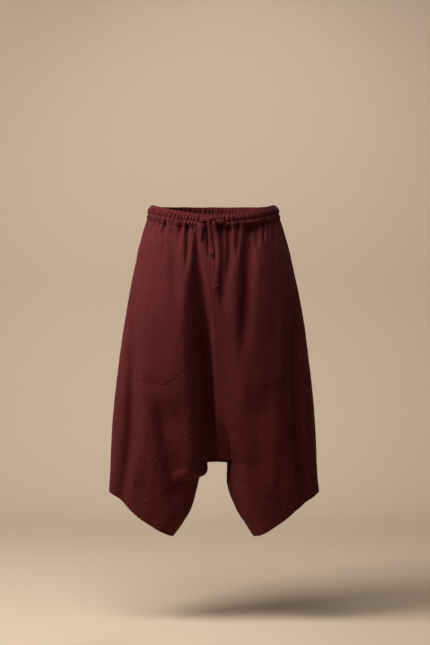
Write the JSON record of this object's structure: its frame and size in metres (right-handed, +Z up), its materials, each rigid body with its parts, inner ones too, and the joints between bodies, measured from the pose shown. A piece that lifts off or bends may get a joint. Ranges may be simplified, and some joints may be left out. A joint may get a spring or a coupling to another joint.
{
  "type": "harem pants",
  "caption": "Cropped drop-crotch harem pants with a gathered drawstring waist, large D-shaped patch pockets, an arched crotch band and pointed leg hems, filled out and hollow.",
  "frame": {"origin": "middle of the waist at the height of the waistband's top edge at the sides", "axes": "+Z up, +X towards the right of someone looking at the front, the front faces -Y"},
  "size_m": [0.5059, 0.2739, 0.7967],
  "materials": {
    "cloth": "burgundy crepe, matt with a soft low sheen",
    "cord": "self-fabric tube, burgundy, matt"
  },
  "bodies": {
    "root": {"waistband": "cloth", "front_left": "cloth", "front_right": "cloth", "back_left": "cloth", "back_right": "cloth", "band_front_left": "cloth", "band_front_right": "cloth", "band_back_left": "cloth", "band_back_right": "cloth", "leg_left": "cloth", "leg_right": "cloth", "pocket_left": "cloth", "pocket_right": "cloth", "cord_run_left": "cord", "cord_run_right": "cord", "knot": "cord", "tail_left": "cord", "tail_right": "cord"}
  },
  "joints": []
}
